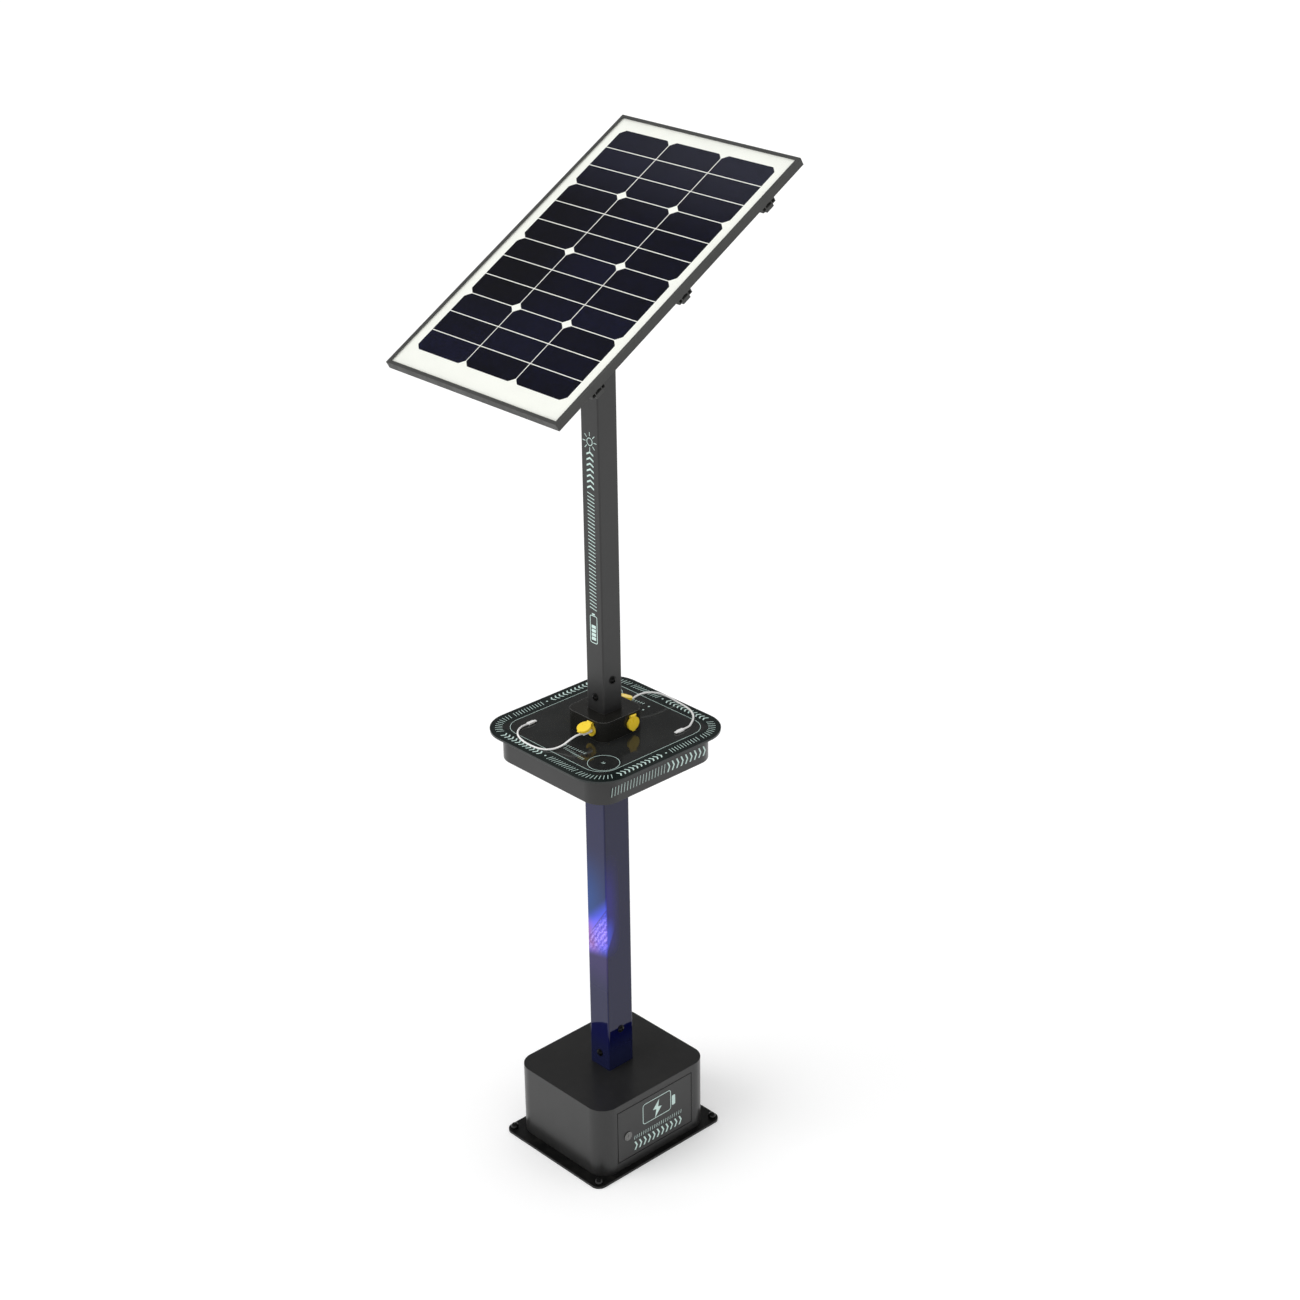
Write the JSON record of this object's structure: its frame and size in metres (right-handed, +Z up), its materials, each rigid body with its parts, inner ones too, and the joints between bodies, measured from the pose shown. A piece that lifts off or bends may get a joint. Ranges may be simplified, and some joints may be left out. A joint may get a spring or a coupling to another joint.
{
  "type": "solar charging station",
  "caption": "Free-standing pole station with a battery box at its foot, a square tray with wireless and wired charging places, and a tilting solar panel on top.",
  "frame": {"origin": "centre of the base plate's underside, on the axis of the poles", "axes": "+Z up, -Y the front, which the solar panel slopes down towards, +X the side with the base door"},
  "size_m": [0.54, 0.6959, 2.3962],
  "materials": {
    "plate_paint": "satin",
    "black_paint": "satin",
    "navy_paint": "gloss",
    "tray_black": "gloss",
    "frame_grey": "satin anodised",
    "bare_aluminium": "satin",
    "zinc_steel": "zinc plated",
    "bolt_black": "satin",
    "black_plastic": "matte",
    "grey_plastic": "matte",
    "controller_metal": "matte",
    "battery_case": "matte",
    "seal_rubber": "matte",
    "port_yellow": "satin",
    "plug_white": "satin",
    "cable_white": "satin",
    "panel_glass": "clear",
    "cell_navy": "satin",
    "sheet_white": "matte"
  },
  "bodies": {
    "station": {"base_plate": "plate_paint", "base_housing": "black_paint", "door_frame": "black_paint", "door_seal": "seal_rubber", "anchor_caps": "black_plastic", "base_stub": "plate_paint", "battery": "battery_case", "battery_strap": "zinc_steel", "charge_controller": "controller_metal", "fuse_block": "grey_plastic", "lower_pole": "navy_paint", "lower_pole_bolts": "bolt_black", "middle_stub": "plate_paint", "upper_pole": "black_paint", "upper_pole_bolts": "bolt_black", "pole_bolt_nuts": "bolt_black", "tray_top_plate": "tray_black", "tray_housing": "black_paint", "tray_bottom_cover": "black_paint", "cover_screws": "zinc_steel", "wireless_coils": "grey_plastic", "usb_supply": "grey_plastic", "port_block": "black_paint", "port_right": "port_yellow", "port_back": "port_yellow", "port_left": "port_yellow", "port_front": "port_yellow", "cover_pins": "zinc_steel", "pole_head": "black_paint", "pivot_bolt": "zinc_steel", "pivot_nut": "zinc_steel", "front_cable": "cable_white", "front_port_plug": "plug_white", "front_phone_plug": "plug_white", "back_cable": "cable_white", "back_port_plug": "plug_white", "back_phone_plug": "plug_white"},
    "door": {"door_panel": "black_paint", "door_pivot_pins": "zinc_steel", "lock_barrel": "zinc_steel"},
    "lock": {"lock_plug": "zinc_steel", "lock_cam": "zinc_steel"},
    "right_cover": {"cover_right": "port_yellow"},
    "back_cover": {"cover_back": "port_yellow"},
    "left_cover": {"cover_left": "port_yellow"},
    "front_cover": {"cover_front": "port_yellow"},
    "panel": {"frame_sides": "frame_grey", "frame_ends": "frame_grey", "frame_corner_keys": "bare_aluminium", "panel_glass": "panel_glass", "solar_cells": "cell_navy", "panel_backsheet": "sheet_white", "junction_box": "black_plastic", "cross_rails": "frame_grey", "panel_spine": "frame_grey", "panel_bolts": "zinc_steel", "tilt_cradle": "frame_grey", "clamp_bolts": "zinc_steel"}
  },
  "joints": [
    {"name": "door_hinge", "type": "hinge", "parent": "station", "child": "door", "pos_m": [0.1504, 0.1124, 0.1015], "axis": [0, 0, 1], "range_deg": [0, 110]},
    {"name": "lock_turn", "type": "hinge", "parent": "door", "child": "lock", "pos_m": [0.15, -0.093, 0.094], "axis": [1, 0, 0], "range_deg": [0, 90]},
    {"name": "right_cover_hinge", "type": "hinge", "parent": "station", "child": "right_cover", "pos_m": [0.0675, 0.024, 1.1436], "axis": [0, -1, 0], "range_deg": [0, 110]},
    {"name": "back_cover_hinge", "type": "hinge", "parent": "station", "child": "back_cover", "pos_m": [-0.024, 0.0675, 1.1436], "axis": [1, 0, 0], "range_deg": [0, 40]},
    {"name": "left_cover_hinge", "type": "hinge", "parent": "station", "child": "left_cover", "pos_m": [-0.0675, -0.024, 1.1436], "axis": [0, 1, 0], "range_deg": [0, 110]},
    {"name": "front_cover_hinge", "type": "hinge", "parent": "station", "child": "front_cover", "pos_m": [0.024, -0.0675, 1.1436], "axis": [-1, 0, 0], "range_deg": [0, 40]},
    {"name": "panel_tilt", "type": "hinge", "parent": "station", "child": "panel", "pos_m": [0, 0, 2.078], "axis": [1, 0, 0], "range_deg": [-15, 15]}
  ]
}
